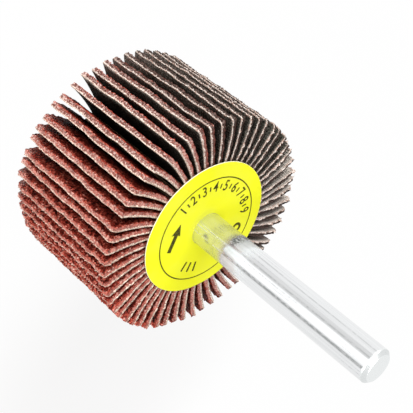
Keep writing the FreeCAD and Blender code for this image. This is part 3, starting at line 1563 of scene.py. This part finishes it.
    def number(self, value: int, angle: float) -> bpy.types.Mesh:
        """One plain number of the scale, its top towards the rim.

        Args:
            value: the number.
            angle: its place, in degrees.

        Returns:
            Its mesh.
        """
        text = bpy.data.curves.new(f"number_{value}", "FONT")
        text.body = str(value)
        text.align_x = "CENTER"
        text.align_y = "CENTER"
        text.size = self.scale_size
        text.extrude = self.ink_height
        text.offset = self.scale_weight
        text.resolution_u = 4
        holder = link(text.name, text)
        graph = bpy.context.evaluated_depsgraph_get()
        mesh = bpy.data.meshes.new_from_object(holder.evaluated_get(graph), depsgraph=graph)
        bpy.data.objects.remove(holder)
        bpy.data.curves.remove(text)
        turn = Matrix.Rotation(math.radians(angle - 90.0), 4, "Z")
        slim = Matrix.Diagonal((self.scale_slim, 1.0, 1.0, 1.0))
        mesh.transform(turn @ Matrix.Translation((0.0, self.scale_radius, self.top)) @ slim)
        return mesh

    def tick_tree(self) -> bpy.types.NodeTree:
        """Build the Geometry Nodes tree of a row of ticks that point at the axis.

        Returns:
            The tree.
        """
        numbers = ("First Angle", "Step Angle", "Radius", "Tick Length", "Tick Width", "Tick Height", "Level")
        bench, taken = new_tree("printed_ticks", numbers, ("Count",))
        index = bench.out("GeometryNodeInputIndex", {})
        angle = taken["First Angle"] + index * taken["Step Angle"]
        radius = taken["Radius"]
        spot = bench.join(radius * bench.calc("COSINE", angle), radius * bench.calc("SINE", angle),
                          taken["Level"])
        dots = bench.out("GeometryNodePoints", {"Count": taken["Count"], "Position": spot})
        size = bench.join(taken["Tick Length"], taken["Tick Width"], taken["Tick Height"])
        tick = bench.out("GeometryNodeMeshCube", {"Size": size}, "Mesh")
        turn = bench.join(0.0, 0.0, angle)
        laid = bench.out("GeometryNodeInstanceOnPoints", {"Points": dots, "Instance": tick, "Rotation": turn})
        return close_tree(bench, taken, laid)

    def marks(self, ink: bpy.types.Material) -> bpy.types.Object:
        """Everything printed: a ring, an arrow, a plain scale and three bars.

        Args:
            ink: the ink's material.

        Returns:
            One piece that holds the whole print.
        """
        step = (self.scale_to - self.scale_from) / (self.scale_count - 1)
        dot = self.ring_line(self.dot_radius, self.dot_width, self.dot_segments)
        dot.transform(Matrix.Translation((*self.dot_spot, 0.0)))
        meshes = [self.ring_line(self.line_radius, self.line_width, self.segments), dot, self.arrow()]
        for place in range(self.scale_count):
            meshes.append(self.number(place + 1, self.scale_from + place * step))
        tree = self.tick_tree()

        def row(
            name: str, count: int, radius: float, first: float, apart: float, size: tuple[float, float]
        ) -> bpy.types.Object:
            """A row of ticks, its angles in degrees."""
            return grown(name, tree, {
                "Tick Height": 2.0 * self.ink_height, "Level": self.top, "Material": ink,
                "Count": count, "Radius": radius, "Tick Length": size[0], "Tick Width": size[1],
                "First Angle": math.radians(first), "Step Angle": math.radians(apart),
            })

        ticks = row("scale_ticks", self.scale_count - 1, self.scale_radius,
                    self.scale_from + step / 2, step, self.tick)
        bars = row("grade_bars", self.bars_count, self.bars_radius,
                   self.bars_from, self.bars_step, self.bar)
        meshes += [ticks.data, bars.data]
        work = bmesh.new()
        for mesh in meshes:
            work.from_mesh(mesh)
        for face in work.faces:
            face.smooth = False
            face.material_index = 0
        joined = to_mesh("label_print", work)
        joined.materials.append(ink)
        for helper in (ticks, bars):
            bpy.data.objects.remove(helper)
        for mesh in meshes:
            bpy.data.meshes.remove(mesh)
        return link("label_print", joined)


# Core


@dataclass
class ResinCore:
    """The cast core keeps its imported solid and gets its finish."""

    def build(self, finish: bpy.types.Material) -> bpy.types.Object:
        """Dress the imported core.

        Args:
            finish: the resin's material.

        Returns:
            The core.
        """
        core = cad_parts["resin_core"]
        core.data.materials.clear()
        core.data.materials.append(finish)
        return core


# Studio


@dataclass(frozen=True)
class SoftLamp:
    """A round soft box that points at the wheel.

    Attributes:
        name: its name.
        towards: direction from the wheel to the lamp.
        away: distance from the wheel.
        size: its width.
        level: brightness that it alone gives a white surface that faces it, 1 being white.
    """

    name: str
    towards: tuple[float, float, float]
    away: float
    size: float
    level: float

    def hang(self) -> None:
        """Hang the lamp."""
        data = bpy.data.lights.new(self.name, "AREA")
        data.shape = "DISK"
        data.size = self.size
        data.energy = (math.pi * self.away) ** 2 * self.level
        aim = -Vector(self.towards).normalized()
        turn = aim.to_track_quat("-Z", "Y").to_matrix().to_4x4()
        link(self.name, data).matrix_world = Matrix.Translation(LAMP_AIM - aim * self.away) @ turn


@dataclass
class Studio:
    """Pale floor, soft lamps and the camera.

    Attributes:
        floor_half: half the floor's width.
        floor_drop: how far it lies under the wheel.
        floor_tone: its colour.
        fill: strength of the light from all round.
        white_share: how far the floor is white for the camera, the rest being its lit colour.
        shadow_share: how much more of its lit colour shows round shadow_spot, a painted shadow patch in which
            the wheel's own shadow also shows.
        shadow_spot: middle of the painted shadow patch.
        shadow_core: how far from its middle the patch is full.
        shadow_reach: how far from its middle it goes.
        gloss_share: how far the floor is white for what steel reflects.
        sky_gloss: strength of the light from all round that steel reflects.
        lens: focal length in millimetres.
        sensor: sensor width in millimetres.
        camera_spot: where the camera stands.
        camera_right: its right hand.
        camera_up: its up.
        lamps: the soft boxes.
        bands: sectors of the floor that polished steel sees brighter or darker.
    """

    floor_half: float = 3.0
    floor_drop: float = 0.01 * MM
    floor_tone: Colour = (0.80, 0.785, 0.78)
    fill: float = 0.05
    white_share: float = 0.985
    shadow_share: float = 0.23
    shadow_spot: tuple[float, float] = (36.0 * MM, 44.0 * MM)
    shadow_core: float = 12.0 * MM
    shadow_reach: float = 50.0 * MM
    gloss_share: float = 0.80
    sky_gloss: float = 0.84
    lens: float = 87.08
    sensor: float = 36.0
    camera_spot: tuple[float, float, float] = (0.0, -0.137589, 0.115978)
    camera_right: tuple[float, float, float] = (-0.63158, 0.42618, 0.64767)
    camera_up: tuple[float, float, float] = (-0.77512, -0.36573, -0.51521)
    lamps: tuple[SoftLamp, ...] = (
        SoftLamp("key_box", (-0.87, -0.44, 0.15), 0.55, 0.34, 1.03),
        SoftLamp("front_box", (-0.30, -0.90, 0.32), 0.60, 0.30, 0.20),
        SoftLamp("low_box", (0.70, -0.68, 0.13), 0.55, 0.24, 1.05),
        SoftLamp("high_box", (-0.34, -0.72, 0.60), 0.60, 0.90, 0.38),
        SoftLamp("top_box", (0.05, 0.12, 1.00), 0.60, 0.36, 0.55),
    )
    bands: tuple[Sector, ...] = (
        Sector(-5.0, 39.0, 4.0, 0.32),
        Sector(47.0, 65.0, 5.0, -0.47),
        Sector(-44.0, -8.0, 5.0, -0.18),
        Sector(-26.0, -8.0, 5.0, -0.12),
        Sector(-76.0, -68.0, 4.0, -0.14),
        Sector(-150.0, -84.0, 6.0, 0.07),
    )

    def build(self) -> None:
        """Set the whole studio up."""
        self.floor()
        self.world()
        for lamp in self.lamps:
            lamp.hang()
        self.camera()
        bpy.context.scene.view_settings.view_transform = "Standard"

    def floor(self) -> None:
        """Lay the floor. The camera and gloss see it white, with a painted shadow patch round a set spot, in
        which the wheel's own shadow also shows.
        """
        mesh = bpy.data.meshes.new("studio_floor")
        far, low = self.floor_half, -self.floor_drop
        corners = [(-far, -far, low), (far, -far, low), (far, far, low), (-far, far, low)]
        mesh.from_pydata(corners, [], [(0, 1, 2, 3)])
        floor = link("studio_floor", mesh)
        made, bench, shader = new_material("studio_floor")
        bench.fill(shader, {
            "Base Color": (*self.floor_tone, 1.0), "Roughness": 0.9, "Specular IOR Level": 0.1,
        })
        gloss = bench.ray("Is Glossy Ray")
        clear = bench.calc("MAXIMUM", bench.ray("Is Camera Ray"), bench.ray("Is Transmission Ray"))
        x, y, _ = bench.split(bench.where())
        shine = round_shank(bench, x, y, self.bands)
        glow = bench.out("ShaderNodeEmission", {"Color": WHITE, "Strength": 1.0 + shine * gloss})
        # Painted shadow patch: round shadow_spot the camera sees more of the floor's lit colour
        aside, behind = x - self.shadow_spot[0], y - self.shadow_spot[1]
        away = bench.calc("SQRT", aside * aside + behind * behind)
        near = bench.fall(away, self.shadow_core, self.shadow_reach)
        white = self.white_share - near * self.shadow_share
        mixed = bench.node("ShaderNodeMixShader")
        mixed_from = (clear * white + gloss * self.gloss_share, Signal(bench, shader.outputs[0]), glow)
        for target, value in zip(mixed.inputs, mixed_from):
            bench.feed(target, value)
        ending = next(node for node in made.node_tree.nodes if node.type == "OUTPUT_MATERIAL")
        bench.feed(ending.inputs["Surface"], Signal(bench, mixed.outputs[0]))
        mesh.materials.append(made)

    def world(self) -> None:
        """Soft light from all round, which the camera sees as white and gloss as pale grey."""
        world = bpy.data.worlds.new("studio_world")
        bpy.context.scene.world = world
        world.use_nodes = True
        bench = Bench(world.node_tree)
        for_camera = bench.ray("Is Camera Ray") * (1.0 - self.fill)
        for_gloss = bench.ray("Is Glossy Ray") * (self.sky_gloss - self.fill)
        sky = world.node_tree.nodes["Background"]
        bench.fill(sky, {"Color": WHITE, "Strength": for_camera + for_gloss + self.fill})

    def camera(self) -> None:
        """Stand the camera where the photograph was taken from, rolled as it was."""
        data = bpy.data.cameras.new("camera")
        data.lens = self.lens
        data.sensor_width = self.sensor
        data.clip_start = 10.0 * MM
        camera = link("camera", data)
        right = Vector(self.camera_right).normalized()
        up = Vector(self.camera_up)
        up = (up - right * up.dot(right)).normalized()
        back = right.cross(up)
        turn = Matrix((right, up, back)).transposed().to_4x4()
        camera.matrix_world = Matrix.Translation(self.camera_spot) @ turn
        bpy.context.scene.camera = camera


def main() -> None:
    """Build the flap wheel and its studio."""
    logging.basicConfig(level=logging.INFO, format="%(message)s")
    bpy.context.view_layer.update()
    log.info("packed solids: %d nodes", len(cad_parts))

    flaps = FlapRing().build(AbrasiveCloth().make())
    log.info("flaps: %d, %d faces", len(flaps), sum(len(flap.data.polygons) for flap in flaps))
    ResinCore().build(CastResin().make())
    log.info("core: resin")
    shank = Shank().build(GroundSteel().make())
    log.info("shank: %d faces", len(shank.data.polygons))
    disc, marks = Label().build(LabelPaper().make(), PrintInk().make())
    log.info("label: %d faces of paper, %d of print", len(disc.data.polygons), len(marks.data.polygons))
    Studio().build()
    log.info("studio: floor, lamps, camera")


if __name__ == "__main__":
    main()
